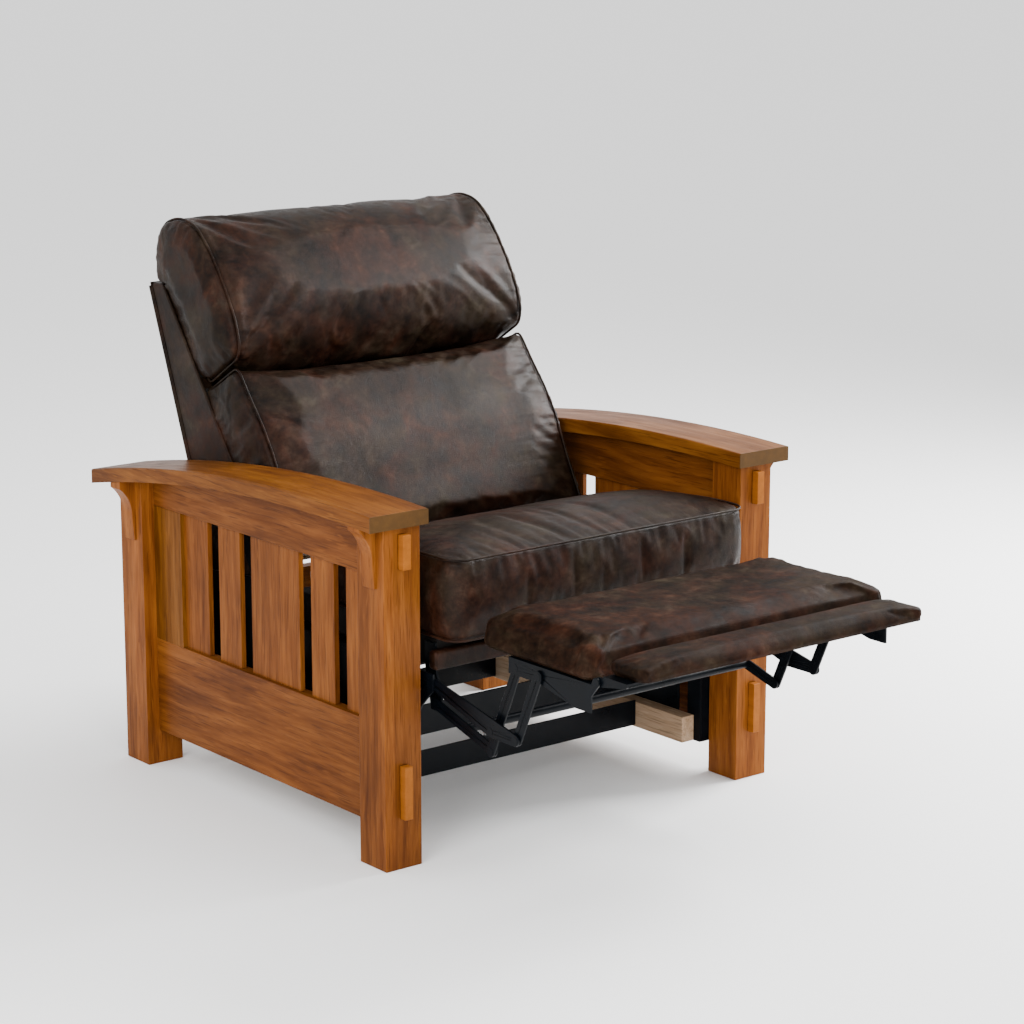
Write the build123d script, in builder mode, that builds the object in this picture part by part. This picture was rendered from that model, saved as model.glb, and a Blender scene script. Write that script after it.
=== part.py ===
from build123d import *
import os
from math import cos, radians, sin

# Mission reclining armchair: oak frame with bowed arms, leather cushions, steel footrest linkage.
# Millimetres, +Z up, the sitter faces -Y, so the sitter's right hand is at -X.
# It stands with the footrest out and the back partly reclined.

os.makedirs("parts", exist_ok=True)

# Oak frame
frame_width = 884.0  # over the outer faces of the posts
frame_depth = 841.0  # front face of the front posts to rear face of the rear posts
post_size = 76.0
panel_inset = 26.0  # outer face of the side rails behind the outer face of the posts
rail_thickness = 25.0
slat_thickness = 10.0
lower_rail_bottom = 66.0
lower_rail_top = 247.0
upper_rail_height = 96.0  # below the front of the arm
slat_gap = 36.0
narrow_slat = 70.0
edge_slat = 80.0
rear_stile_width = 93.0  # the wide middle slat takes what is left
tenon_thickness = 16.0
tenon_proud = 15.0
tenon_low = 91.0
tenon_high = 185.0
upper_tenon_height = 60.0
upper_tenon_shoulder = 12.0  # between the tenon and the arm
mortise_clearance = 0.1
rear_rail_bottom = 205.0
rear_rail_top = 325.0

# Bowed arms and corbels
arm_width = 121.0
arm_thickness = 27.0
arm_outer_overhang = 34.0
arm_front_overhang = 10.0
arm_rear_overhang = 45.0
arm_front_height = 600.0  # underside of the arm
arm_middle_distance = 355.0  # from the post fronts, where it is as high again
arm_rear_drop = 66.0  # of the rear end below the front
arm_edge_round = 3.0
corbel_height = 106.0
corbel_reach = 33.0
corbel_toe = 4.0
corbel_thickness = 34.0
corbel_nose = 5.0  # height of its outer end
corbel_waist_height = 62.0  # below the top, where the hollow curve ends
corbel_waist_reach = 8.0
corbel_hollow_height = 23.0  # below the top, half way along the hollow
corbel_hollow_reach = 17.0

# Base rails, bars and mounting channels
base_rail_inner = 316.0
base_rail_thickness = 30.0
base_rail_bottom = 60.0
base_rail_height = 50.0
base_rail_front = 95.0  # leaves room for the folded footrest
base_rail_end_gap = 35.0
mount_width = 36.0  # from front to rear, and of the plates' front legs
front_mount_height = 180.0
rear_mount_height = 140.0
mount_setback = 2.0  # of the front pair, behind the front posts
front_bar_place = 228.0
rear_bar_place = 660.0
bar_height = 49.0
bar_depth = 30.0
bar_wall = 4.0
upper_bar_place = 245.0
upper_bar_bottom = 136.0
upper_bar_height = 56.0

# Layers of the linkage, measured outwards from the middle of the chair
plate_inner = 346.0
plate_thickness = 4.0
link_thickness = 4.0
layer_gap = 1.0
plate_flange_width = 46.0
plate_flange_front = 60.0
plate_flange_rear = 480.0

# Linkage pivots, as distances behind the post fronts and heights
main_pivot_y = 0.0
main_pivot_z = 320.0
main_link_length = 231.7
main_link_droop = 12.0  # degrees below level
front_link_rise_y = -53.0  # from its lower to its upper pivot
front_link_rise_z = 120.0
link_pair_spacing = 65.0
rear_link_tail_share = 0.35
guide_pivot_y = 18.0
guide_pivot_z = 276.0
link_half_width = 10.0
pivot_radius = 4.0
pivot_clearance = 0.05
open_pivot_clearance = 3.2
pivot_head_radius = 7.5
pivot_head_height = 0.4
guide_plate_half_width = 15.0
guide_plate_top = 380.0
plate_nose = 12.0
plate_front = 20.0
plate_slot = 26.0  # behind the front leg
plate_slot_top = 182.0
plate_hem = 25.0  # overlap with the base rail
plate_rear = 700.0
plate_rear_height = 385.0
torque_tube_wall = 1.5
torque_tube_share = 0.54
torque_tube_radius = 8.0

# Seat
seat_half_width = 340.0
seat_front_reach = 55.0  # in front of the post fronts
seat_rear = 390.0
seat_edge_height = 144.0  # at the front edge
seat_rear_drop = 74.0  # of the top, from the front to the rear
seat_arch = 25.0  # of the top from front to rear, above a straight fall
seat_crown = 11.0  # further rise between the sides
seat_front_bulge = 9.0
seat_frame_bottom = 337.0
seat_frame_height = 53.0
seat_frame_wall = 22.0
seat_frame_setback = 20.0
seat_frame_rear = 446.0
spring_wire = 4.0
spring_count = 5
spring_spacing = 104.0
spring_pitch = 26.0
spring_swing = 18.0
spring_bend = 12.5
front_board_reach = 0.0
front_board_height = 35.0
front_board_half_width = 335.0
soft_gap = 0.3

# Back, in the reclined rest pose
back_pivot_setback = 36.0  # behind the heel of the back
back_pivot_z = 400.0
back_pin_radius = 6.0
back_pin_head_radius = 11.0
back_pin_head_height = 4.0
hinge_strap_radius = 22.0
hinge_strap_end_radius = 15.0
hinge_strap_length = 90.0  # end of the strap behind the pivot
hinge_strap_height = 150.0
back_half_width = 341.0
back_board_thickness = 25.0
back_bottom = 380.0
back_heel = 430.0  # height where the front edge starts to lean
back_top = 905.0
back_heel_depth = 484.0  # front edge at the heel
back_foot_width = 191.0  # from front to rear at the bottom
back_front_lean_share = 0.735  # rearward run for each unit of height
back_rear_lean_share = 0.38
back_rail_height = 60.0
back_rail_depth = 22.0
back_middle_rail = 640.0
outside_back_thickness = 5.0
webbing_width = 60.0
webbing_thickness = 2.5  # along the depth
webbing_heights = (505.0, 585.0, 665.0, 745.0)
back_cushion_seam_height = 572.0  # cross seam, where the front turns under
back_cushion_lead = 17.0  # cross seam ahead of the heel
back_cushion_lean = 136.0  # highest front edge behind the cross seam
back_cushion_top = 783.0
back_cushion_slope_share = 0.6  # fall of the top for each unit rearward
back_cushion_lip_lead = 76.0  # lowest front edge ahead of the heel, just behind the seat
back_cushion_lip_height = 464.0
back_cushion_foot_height = 441.0  # lowest rear edge
back_cushion_lip_bulge = 5.0
back_cushion_crown = 16.0
back_cushion_draw = 8.0  # how far the ends pull in
back_cushion_half_width = 345.0
pillow_half_width = 348.0
pillow_lip_lead = 6.0  # ahead of the highest front edge of the back cushion
pillow_chin_lead = 8.0  # ahead of the lip
pillow_front_setback = 4.0  # behind the lip, as are the ones below
pillow_shoulder_setback = 56.0
pillow_brow_setback = 130.0
pillow_top_setback = 188.0
pillow_crest_setback = 241.0
pillow_rear_setback = 275.0
pillow_rise = 135.0  # above the top of the back frame
pillow_chin_drop = 212.0  # below the top of the pillow, as are the ones below
pillow_front_drop = 174.0
pillow_shoulder_drop = 89.0
pillow_brow_drop = 14.0
pillow_crest_drop = 13.0
pillow_rear_drop = 75.0
pillow_rear_inset = 8.0  # ahead of the rear edge of the frame
pillow_heart_setback = 143.0  # point that the ends draw in towards
pillow_heart_drop = 120.0
pillow_draw_share = 0.14

# Footrest and its front flap, folded out
pad_half_width = 341.0
pad_rear = -115.0
pad_front = -415.0
pad_bottom = 420.3
pad_height = 33.0
pad_crown = 10.0
pad_edge_bulge = 7.0
footrest_board_thickness = 12.0
footrest_board_half_width = 336.0
footrest_board_inset = 8.0
bracket_rear = -199.0
bracket_drop = 38.0
bracket_nose_drop = 48.0
bracket_front = -408.0
bracket_flange = 34.0
flap_half_width = 320.0
flap_front = -516.0
flap_rear = -425.0
flap_bottom = 425.0
flap_board_thickness = 11.0
flap_board_half_width = 312.0
flap_pad_height = 15.0
flap_crown = 4.0
flap_edge_bulge = 3.0
flap_pivot_y = -420.0
flap_pivot_z = 413.0
flap_ear_radius = 8.0
flap_arm_reach = 70.0
flap_arm_flange = 40.0
overrun = 5.0

# Numbers of the linkage layers, counted inwards from the mechanism plate
main_link_layer = 1
front_link_layer = 2
bracket_layer = 3
rear_link_layer = 4
guide_link_layer = 5
guide_plate_layer = 6

# Soft pieces keep these shares of their crown and bulge along their length
soft_places = (-1.0, -0.94, -0.6, 0.0, 0.6, 0.94, 1.0)
soft_shares = (0.12, 0.55, 0.92, 1.0, 0.92, 0.55, 0.12)

# The origin is at the middle of the overall depth, on the floor
rear_reach = frame_depth + arm_rear_overhang
front = -(rear_reach + flap_front) / 2  # y of the front faces of the front posts
outer = frame_width / 2
post_inner = outer - post_size
arm_outer = outer + arm_outer_overhang
arm_inner = arm_outer - arm_width
rail_outer = outer - panel_inset
rail_inner = rail_outer - rail_thickness
seat_frame_front = front + seat_frame_setback
sides = (("right", -1), ("left", 1))
upper_rail_bottom = arm_front_height - upper_rail_height
upper_tenon_top = arm_front_height - upper_tenon_shoulder
upper_tenon_bottom = upper_tenon_top - upper_tenon_height
back_pivot_y = back_heel_depth + back_pivot_setback
back_foot_depth = back_heel_depth + back_foot_width
back_cushion_seam_depth = back_heel_depth - back_cushion_lead
back_cushion_front_top = back_cushion_seam_depth + back_cushion_lean
pillow_lip = back_cushion_front_top - pillow_lip_lead


def layer(number):
    """Inner face of a linkage layer; layer 1 lies beside the mechanism plate."""
    return plate_inner - number * (link_thickness + layer_gap)


def upright(side, inner_face, thickness):
    """Plane across the chair whose extrusion by the thickness starts nearest -X."""
    start = inner_face if side > 0 else -(inner_face + thickness)
    return Plane.YZ.offset(start)


def save(part, name):
    part.label = name
    export_step(part, f"parts/{name}.step")


def arm_curve(height_above):
    """Underside arc of an arm, or one parallel to it, from front to rear."""
    return ThreePointArc(
        (front - arm_front_overhang, arm_front_height + height_above),
        (front + arm_middle_distance, arm_front_height + height_above),
        (front + rear_reach, arm_front_height - arm_rear_drop + height_above),
    )


def under_arm(start, end, bottom):
    """Outline from a level bottom up to the underside of the arm, between two depths."""
    top = arm_front_height + corbel_height
    with BuildSketch(mode=Mode.PRIVATE) as below:
        with BuildLine():
            arc = arm_curve(0)
            Polyline(
                arc @ 1,
                (front + rear_reach, bottom),
                (front - arm_front_overhang, bottom),
                arc @ 0,
            )
        make_face()
    with BuildSketch(mode=Mode.PRIVATE) as column:
        with BuildLine():
            Polyline((start, bottom), (end, bottom), (end, top), (start, top), close=True)
        make_face()
    return below.sketch & column.sketch


def level_block(start, end, bottom, top):
    """Rectangle in a side view, from two depths and two heights."""
    with Locations(((start + end) / 2, (bottom + top) / 2)):
        Rectangle(end - start, top - bottom)


# Posts, with mortises through the front pair
for side_name, side in sides:
    for place_name, start in (("front", front), ("rear", front + frame_depth - post_size)):
        with BuildPart() as post:
            with BuildSketch(upright(side, post_inner, post_size)):
                add(under_arm(start, start + post_size, 0))
            extrude(amount=post_size)
            if place_name == "front":
                tenon_inner = (rail_outer + rail_inner) / 2 - tenon_thickness / 2
                slot = tenon_thickness + 2 * mortise_clearance
                with BuildSketch(upright(side, tenon_inner - mortise_clearance, slot)):
                    for low, high in ((tenon_low, tenon_high), (upper_tenon_bottom, upper_tenon_top)):
                        level_block(
                            start - overrun,
                            start + post_size + overrun,
                            low - mortise_clearance,
                            high + mortise_clearance,
                        )
                extrude(amount=slot, mode=Mode.SUBTRACT)
        save(post.part, f"{side_name}_{place_name}_post")

# Side rails: the upper one follows the arm, both pass through the front post
between_start = front + post_size
between_end = front + frame_depth - post_size
for side_name, side in sides:
    tenon_inner = (rail_outer + rail_inner) / 2 - tenon_thickness / 2
    tenon_front = front - tenon_proud
    with BuildPart() as upper_rail:
        with BuildSketch(upright(side, rail_inner, rail_thickness)):
            add(under_arm(between_start, between_end, upper_rail_bottom))
        extrude(amount=rail_thickness)
        with BuildSketch(upright(side, tenon_inner, tenon_thickness)):
            level_block(tenon_front, between_start + overrun, upper_tenon_bottom, upper_tenon_top)
        extrude(amount=tenon_thickness)
    save(upper_rail.part, f"{side_name}_upper_rail")

    with BuildPart() as lower_rail:
        with BuildSketch(upright(side, rail_inner, rail_thickness)):
            level_block(between_start, between_end, lower_rail_bottom, lower_rail_top)
        extrude(amount=rail_thickness)
        with BuildSketch(upright(side, tenon_inner, tenon_thickness)):
            level_block(tenon_front, between_start + overrun, tenon_low, tenon_high)
        extrude(amount=tenon_thickness)
    save(lower_rail.part, f"{side_name}_lower_rail")

# Slats from front to rear, then a stile that fills up to the rear post
slat_inner = (rail_outer + rail_inner) / 2 - slat_thickness / 2
slat_gaps = 4
panel_length = between_end - between_start - rear_stile_width
wide_slat = panel_length - 2 * edge_slat - 2 * narrow_slat - slat_gaps * slat_gap
slat_widths = (edge_slat, narrow_slat, wide_slat, narrow_slat, edge_slat)
slat_starts = []
reach = between_start
for width in slat_widths:
    slat_starts.append(reach)
    reach += width + slat_gap
stile_start = reach - slat_gap
for side_name, side in sides:
    with BuildPart() as narrow_slats:
        with BuildSketch(upright(side, slat_inner, slat_thickness)):
            for start, width in zip(slat_starts, slat_widths):
                if width != wide_slat:
                    level_block(start, start + width, lower_rail_top, upper_rail_bottom)
        extrude(amount=slat_thickness)
    save(narrow_slats.part, f"{side_name}_narrow_slats")

    with BuildPart() as centre_slat:
        with BuildSketch(upright(side, slat_inner, slat_thickness)):
            level_block(slat_starts[2], slat_starts[2] + wide_slat, lower_rail_top, upper_rail_bottom)
        extrude(amount=slat_thickness)
    save(centre_slat.part, f"{side_name}_wide_slat")

    with BuildPart() as stile:
        with BuildSketch(upright(side, rail_inner, rail_thickness)):
            level_block(stile_start, between_end, lower_rail_top, upper_rail_bottom)
        extrude(amount=rail_thickness)
    save(stile.part, f"{side_name}_rear_stile")

# Bowed arms
for side_name, side in sides:
    with BuildPart() as arm:
        with BuildSketch(upright(side, arm_inner, arm_width)):
            with BuildLine():
                under = arm_curve(0)
                over = arm_curve(arm_thickness)
                Line(under @ 0, over @ 0)
                Line(under @ 1, over @ 1)
            make_face()
        extrude(amount=arm_width)
        long_edges = arm.edges().filter_by(GeomType.CIRCLE)
        fillet(long_edges.group_by(Axis.Z)[-1], arm_edge_round)
    save(arm.part, f"{side_name}_arm")

# Corbels on the outer faces of the posts, cut to the underside of the arm
with BuildPart() as corbels:
    for side_name, side in sides:
        for start in (front, front + frame_depth - post_size):
            under = under_arm(start, start + post_size, 0)
            top = min(corner.Y for corner in under.vertices().sort_by(Axis.Y)[-2:])
            middle = start + post_size / 2
            with BuildSketch(Plane.XZ.offset(-middle - corbel_thickness / 2)):
                with BuildLine():
                    Polyline(
                        (side * (outer + corbel_waist_reach), top - corbel_waist_height),
                        (side * (outer + corbel_toe), top - corbel_height),
                        (side * outer, top - corbel_height),
                        (side * outer, arm_front_height + arm_thickness),
                        (side * (outer + corbel_reach), arm_front_height + arm_thickness),
                        (side * (outer + corbel_reach), top - corbel_nose),
                    )
                    ThreePointArc(
                        (side * (outer + corbel_reach), top - corbel_nose),
                        (side * (outer + corbel_hollow_reach), top - corbel_hollow_height),
                        (side * (outer + corbel_waist_reach), top - corbel_waist_height),
                    )
                make_face()
            extrude(amount=corbel_thickness)
    with BuildSketch(Plane.YZ.offset(-arm_outer)):
        add(under_arm(front, front + frame_depth, 0))
    extrude(amount=2 * arm_outer, mode=Mode.INTERSECT)
save(corbels.part, "corbels")

# Rear cross rail between the rear posts
with BuildPart() as rear_rail:
    rear_rail_middle = front + frame_depth - post_size / 2
    with BuildSketch(Plane.XY.offset(rear_rail_bottom)):
        with Locations((0, rear_rail_middle)):
            Rectangle(2 * post_inner, rail_thickness)
    extrude(amount=rear_rail_top - rear_rail_bottom)
save(rear_rail.part, "rear_rail")

# Base rails, the angle bars between them, and a flat bar between the mechanism plates
base_rear = front + frame_depth - base_rail_end_gap
for side_name, side in sides:
    with BuildPart() as base_rail:
        with BuildSketch(upright(side, base_rail_inner, base_rail_thickness)):
            level_block(
                front + base_rail_front, base_rear, base_rail_bottom, base_rail_bottom + base_rail_height
            )
        extrude(amount=base_rail_thickness)
    save(base_rail.part, f"{side_name}_base_rail")

for bar_name, place in (("front", front_bar_place), ("rear", rear_bar_place)):
    bar_bottom = base_rail_bottom + bar_wall
    with BuildPart() as cross_bar:
        with BuildSketch(Plane.YZ.offset(-base_rail_inner)):
            level_block(front + place, front + place + bar_wall, bar_bottom, bar_bottom + bar_height)
            level_block(front + place, front + place + bar_depth, bar_bottom, bar_bottom + bar_wall)
        extrude(amount=2 * base_rail_inner)
        if bar_name == "front":
            flat = front + upper_bar_place
            with BuildSketch(Plane.YZ.offset(-plate_inner)):
                level_block(flat, flat + bar_wall, upper_bar_bottom, upper_bar_bottom + upper_bar_height)
            extrude(amount=2 * plate_inner)
    save(cross_bar.part, f"{bar_name}_cross_bar")

# Channels that hold the base to the lower side rails in front and to the posts in the rear
plate_outer = plate_inner + plate_thickness
base_rail_outer = base_rail_inner + base_rail_thickness
leg_start = between_start + mount_setback
leg_end = leg_start + mount_width
for place_name, start, inner_face, far_face, height in (
    ("front", leg_start, plate_outer, rail_inner, front_mount_height),
    ("rear", base_rear - mount_width, base_rail_outer, post_inner, rear_mount_height),
):
    opening = far_face - inner_face - plate_thickness
    middle = start + mount_width / 2
    with BuildPart() as mounts:
        with BuildSketch(Plane.XY.offset(base_rail_bottom)):
            for side_name, side in sides:
                with Locations((side * (inner_face + far_face) / 2, middle)):
                    Rectangle(far_face - inner_face, mount_width)
                with Locations((side * (inner_face + opening / 2), middle)):
                    Rectangle(opening, mount_width - 2 * plate_thickness, mode=Mode.SUBTRACT)
        extrude(amount=height)
    save(mounts.part, f"{place_name}_mounts")

# Pivots of the footrest linkage in the side view, footrest out
droop = radians(main_link_droop)
main_pivot = (front + main_pivot_y, main_pivot_z)
elbow = (
    main_pivot[0] - main_link_length * cos(droop),
    main_pivot[1] - main_link_length * sin(droop),
)
front_upper = (elbow[0] + front_link_rise_y, elbow[1] + front_link_rise_z)
rear_lower = (elbow[0] + link_pair_spacing, elbow[1])
rear_upper = (front_upper[0] + link_pair_spacing, front_upper[1])
tail = (
    rear_lower[0] - rear_link_tail_share * front_link_rise_y,
    rear_lower[1] - rear_link_tail_share * front_link_rise_z,
)
guide_pivot = (front + guide_pivot_y, guide_pivot_z)
tube_centre = (
    guide_pivot[0] + torque_tube_share * (tail[0] - guide_pivot[0]),
    guide_pivot[1] + torque_tube_share * (tail[1] - guide_pivot[1]),
)
back_pivot = (front + back_pivot_y, back_pivot_z)
flap_pivot = (front + flap_pivot_y, flap_pivot_z)


def bore(place, radius):
    with Locations(place):
        Circle(radius, mode=Mode.SUBTRACT)


def link(side, number, pivots, loose=None):
    """Flat link with rounded ends in one layer, bored at its pivots."""
    with BuildPart() as bar:
        with BuildSketch(upright(side, layer(number), link_thickness)):
            for place in pivots:
                with Locations(place):
                    Circle(link_half_width)
            make_hull()
            for place in pivots:
                play = open_pivot_clearance if place == loose else pivot_clearance
                bore(place, pivot_radius + play)
        extrude(amount=link_thickness)
    return bar.part


def rivet(side, place, inner_face, outer_face, radius=pivot_radius):
    """Shank from one face to the other, with a low head outside each."""
    head = radius + pivot_head_radius - pivot_radius
    length = outer_face - inner_face
    low = inner_face if side > 0 else -outer_face
    with BuildPart() as pin:
        with BuildSketch(Plane.YZ.offset(low)):
            with Locations(place):
                Circle(radius)
        extrude(amount=length)
        for start in (low - pivot_head_height, low + length):
            with BuildSketch(Plane.YZ.offset(start)):
                with Locations(place):
                    Circle(head)
            extrude(amount=pivot_head_height)
    return pin.part


# Mechanism plates: leg behind the post, web down to the base rail, flange under the seat
# frame, ear for the back
plate_bottom = base_rail_bottom + base_rail_height - plate_hem
for side_name, side in sides:
    with BuildPart() as plate:
        with BuildSketch(upright(side, plate_inner, plate_thickness)):
            with BuildLine():
                Polyline(
                    (main_pivot[0] - plate_nose, seat_frame_bottom),
                    (main_pivot[0] - plate_nose, main_pivot[1] - plate_nose),
                    (front + plate_front, guide_pivot[1]),
                    (leg_start, plate_slot_top),
                    (leg_start, base_rail_bottom),
                    (leg_end, base_rail_bottom),
                    (leg_end, plate_slot_top),
                    (leg_end + plate_slot, plate_slot_top),
                    (leg_end + plate_slot, plate_bottom),
                    (front + plate_rear, plate_bottom),
                    (front + plate_rear, plate_rear_height),
                    (back_pivot[0] + hinge_strap_radius, back_pivot[1]),
                    (back_pivot[0] - hinge_strap_radius, back_pivot[1]),
                    (front + plate_flange_rear, seat_frame_bottom),
                    close=True,
                )
            make_face()
            with Locations(back_pivot):
                Circle(hinge_strap_radius)
            bore(back_pivot, back_pin_radius + pivot_clearance)
            bore(main_pivot, pivot_radius + pivot_clearance)
        extrude(amount=plate_thickness)
        with BuildSketch(upright(side, plate_inner - plate_flange_width, plate_flange_width)):
            level_block(
                front + plate_flange_front,
                front + plate_flange_rear,
                seat_frame_bottom - plate_thickness,
                seat_frame_bottom,
            )
        extrude(amount=plate_flange_width)
    save(plate.part, f"{side_name}_mechanism_plate")

# Plates that carry the guide links, screwed to the outside of the seat frame
guide_plate_rear = seat_frame_front + 2 * guide_plate_half_width
with BuildPart() as guide_plates:
    for side_name, side in sides:
        with BuildSketch(upright(side, layer(guide_plate_layer), link_thickness)):
            with BuildLine():
                Polyline(
                    (guide_pivot[0] - guide_plate_half_width, guide_pivot[1] - guide_plate_half_width),
                    (guide_pivot[0] + guide_plate_half_width, guide_pivot[1] - guide_plate_half_width),
                    (guide_plate_rear, seat_frame_bottom),
                    (guide_plate_rear, guide_plate_top),
                    (seat_frame_front, guide_plate_top),
                    (seat_frame_front, seat_frame_bottom - pivot_radius),
                    (guide_pivot[0] - guide_plate_half_width, guide_pivot[1] + guide_plate_half_width),
                    close=True,
                )
            make_face()
            bore(guide_pivot, pivot_radius + pivot_clearance)
        extrude(amount=link_thickness)
save(guide_plates.part, "guide_plates")

# Links of the footrest, from the plate inwards
for side_name, side in sides:
    save(link(side, main_link_layer, (main_pivot, elbow, rear_lower)), f"{side_name}_main_link")
    save(link(side, front_link_layer, (elbow, front_upper)), f"{side_name}_front_link")
    save(link(side, rear_link_layer, (tail, rear_lower, rear_upper), loose=tail), f"{side_name}_rear_link")
    save(link(side, guide_link_layer, (guide_pivot, tail)), f"{side_name}_guide_link")

# Torque tube between the guide links
with BuildPart() as torque_tube:
    with BuildSketch(Plane.YZ.offset(-layer(guide_link_layer))):
        with Locations(tube_centre):
            Circle(torque_tube_radius)
            Circle(torque_tube_radius - torque_tube_wall, mode=Mode.SUBTRACT)
    extrude(amount=2 * layer(guide_link_layer))
save(torque_tube.part, "torque_tube")


def outer_face(number):
    return layer(number) + link_thickness


def both_sides(pins):
    """The same rivets on the right and the left."""
    return [
        rivet(side, place, inner_face, outer_face)
        for side_name, side in sides
        for place, inner_face, outer_face in pins
    ]


base_rivets = both_sides(
    (
        (main_pivot, layer(main_link_layer), plate_outer),
        (guide_pivot, layer(guide_plate_layer), outer_face(guide_link_layer)),
    )
)
with BuildPart() as base_pivots:
    add(base_rivets)
    for side_name, side in sides:
        with BuildSketch(upright(side, layer(main_link_layer), plate_outer - layer(main_link_layer))):
            with Locations(back_pivot):
                Circle(back_pin_radius)
        extrude(amount=plate_outer - layer(main_link_layer))
        with BuildSketch(upright(side, plate_outer, back_pin_head_height)):
            with Locations(back_pivot):
                Circle(back_pin_head_radius)
        extrude(amount=back_pin_head_height)
save(base_pivots.part, "base_pivots")

for name, pins in (
    (
        "main_link_pivots",
        (
            (elbow, layer(front_link_layer), outer_face(main_link_layer)),
            (rear_lower, layer(rear_link_layer), outer_face(main_link_layer)),
        ),
    ),
    (
        "footrest_pivots",
        (
            (front_upper, layer(bracket_layer), outer_face(front_link_layer)),
            (rear_upper, layer(rear_link_layer), outer_face(bracket_layer)),
            (flap_pivot, layer(rear_link_layer), outer_face(bracket_layer)),
        ),
    ),
    ("guide_link_pivots", ((tail, layer(guide_link_layer), outer_face(rear_link_layer)),)),
):
    rivets = both_sides(pins)
    with BuildPart() as pivots:
        add(rivets)
    save(pivots.part, name)

# Seat frame, resting on the flanges of the mechanism plates
seat_frame_top = seat_frame_bottom + seat_frame_height
seat_frame_length = front + seat_frame_rear - seat_frame_front
with BuildPart() as seat_frame:
    with BuildSketch(Plane.XY.offset(seat_frame_bottom)):
        with Locations((0, seat_frame_front + seat_frame_length / 2)):
            Rectangle(2 * layer(guide_plate_layer), seat_frame_length)
            Rectangle(
                2 * (layer(guide_plate_layer) - seat_frame_wall),
                seat_frame_length - 2 * seat_frame_wall,
                mode=Mode.SUBTRACT,
            )
    extrude(amount=seat_frame_height)
save(seat_frame.part, "seat_frame")

# Covered board under the front of the seat
with BuildPart() as front_board:
    with BuildSketch(Plane.XY.offset(seat_frame_bottom)):
        board_depth = seat_frame_setback + front_board_reach
        with Locations((0, seat_frame_front - board_depth / 2)):
            Rectangle(2 * front_board_half_width, board_depth)
    extrude(amount=front_board_height)
save(front_board.part, "seat_front_board")

# Zigzag seat springs, from the front to the rear rail of the seat frame
spring_start = seat_frame_front + seat_frame_wall / 2
spring_length = seat_frame_length - seat_frame_wall
half_turns = int(spring_length / spring_pitch)
spring_height = seat_frame_top + spring_wire / 2
with BuildPart() as seat_springs:
    for index in range(spring_count):
        middle = (index - (spring_count - 1) / 2) * spring_spacing
        corners = [(middle, spring_start)]
        for turn in range(half_turns):
            depth = spring_start + (turn + 0.5) * spring_length / half_turns
            swing = spring_swing if turn % 2 else -spring_swing
            corners += [(middle - swing, depth), (middle + swing, depth)]
        corners.append((middle + swing, spring_start + spring_length))
        with BuildLine(Plane.XY.offset(spring_height)) as wire:
            FilletPolyline(*corners[1:], radius=spring_bend)
        with BuildSketch(Plane(origin=wire.wire() @ 0, z_dir=wire.wire() % 0)):
            Circle(spring_wire / 2)
        sweep(path=wire.wire())
save(seat_springs.part, "seat_springs")


def soft_block(half_width, outline):
    """Cushion lofted across the chair; outline(share) draws its side view at one place."""
    with BuildPart() as block:
        for place, share in zip(soft_places, soft_shares):
            with BuildSketch(Plane.YZ.offset(place * half_width)):
                with BuildLine():
                    outline(share)
                make_face()
        loft()
    return block.part


def box_outline(start, end, bottom, edge_height, crown, bulge, rear_drop=0, arch=0):
    """Side view of a flat-bottomed pad with bulged front and rear and a crowned top."""

    def outline(share):
        top = bottom + edge_height
        rear_top = top - rear_drop
        middle_top = (top + rear_top) / 2 + arch + crown * share
        hollow = bulge * (1 - share)
        Line((end - bulge, bottom), (start + bulge, bottom))
        ThreePointArc((start + bulge, bottom), (start + hollow, (bottom + top) / 2), (start + bulge, top))
        ThreePointArc((start + bulge, top), ((start + end) / 2, middle_top), (end - bulge, rear_top))
        ThreePointArc((end - bulge, rear_top), (end - hollow, (bottom + rear_top) / 2), (end - bulge, bottom))

    return outline


seat_cushion_bottom = seat_frame_top + spring_wire + soft_gap
seat_cushion = soft_block(
    seat_half_width,
    box_outline(
        front - seat_front_reach,
        front + seat_rear,
        seat_cushion_bottom,
        seat_edge_height,
        seat_crown,
        seat_front_bulge,
        seat_rear_drop,
        seat_arch,
    ),
)
save(seat_cushion, "seat_cushion")


def front_edge(height):
    """Depth of the front edge of the back's side boards at a height above the heel."""
    return front + back_heel_depth + back_front_lean_share * (height - back_heel)


def rear_edge(height):
    """Depth of the rear edge of the back's side boards."""
    return front + back_foot_depth + back_rear_lean_share * (height - back_bottom)


# Back frame: tapered side boards and the rails between them
for side_name, side in sides:
    with BuildPart() as back_board:
        with BuildSketch(upright(side, back_half_width - back_board_thickness, back_board_thickness)):
            with BuildLine():
                Polyline(
                    (front_edge(back_heel), back_bottom),
                    (front_edge(back_heel), back_heel),
                    (front_edge(back_top), back_top),
                    (rear_edge(back_top), back_top),
                    (rear_edge(back_bottom), back_bottom),
                    close=True,
                )
            make_face()
        extrude(amount=back_board_thickness)
    save(back_board.part, f"{side_name}_back_board")

rail_half_span = back_half_width - back_board_thickness
with BuildPart() as back_rails:
    for low in (back_bottom, back_middle_rail, back_top - back_rail_height):
        high = low + back_rail_height
        with BuildSketch(Plane.YZ.offset(-rail_half_span)):
            with BuildLine():
                Polyline(
                    (rear_edge(low) - back_rail_depth, low),
                    (rear_edge(low), low),
                    (rear_edge(high), high),
                    (rear_edge(high) - back_rail_depth, high),
                    close=True,
                )
            make_face()
        extrude(amount=2 * rail_half_span)
save(back_rails.part, "back_rails")

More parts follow.
